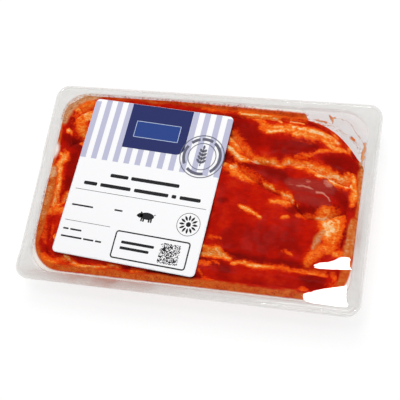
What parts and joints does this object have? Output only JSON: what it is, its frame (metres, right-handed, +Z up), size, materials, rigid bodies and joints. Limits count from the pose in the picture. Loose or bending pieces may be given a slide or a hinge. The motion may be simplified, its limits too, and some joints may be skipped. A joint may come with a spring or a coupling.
{
  "type": "pack of pork belly",
  "caption": "Low rectangular clear tray of marinated pork belly slices, closed by a clear top film with a turned paper label.",
  "frame": {"origin": "middle of the footprint on the surface that the tray stands on", "axes": "+X along the long side of the tray, +Y towards the far long side as the label is read, +Z up"},
  "size_m": [0.23, 0.143, 0.0281],
  "materials": {
    "clear_tray": "clear thermoformed sheet, glossy, slightly milky at the flange",
    "pork_belly": "raw pork belly in a wet red marinade, with cream-orange fat",
    "clear_film": "thin clear film, glossy, smeared with marinade where the meat touches it",
    "label_paper": "coated paper, satin, printed with lavender stripes, a dark blue field and black bars"
  },
  "bodies": {
    "root": {"tray": "clear_tray", "slice_back": "pork_belly", "slice_middle": "pork_belly", "slice_front": "pork_belly", "top_film": "clear_film", "label": "label_paper"}
  },
  "joints": []
}
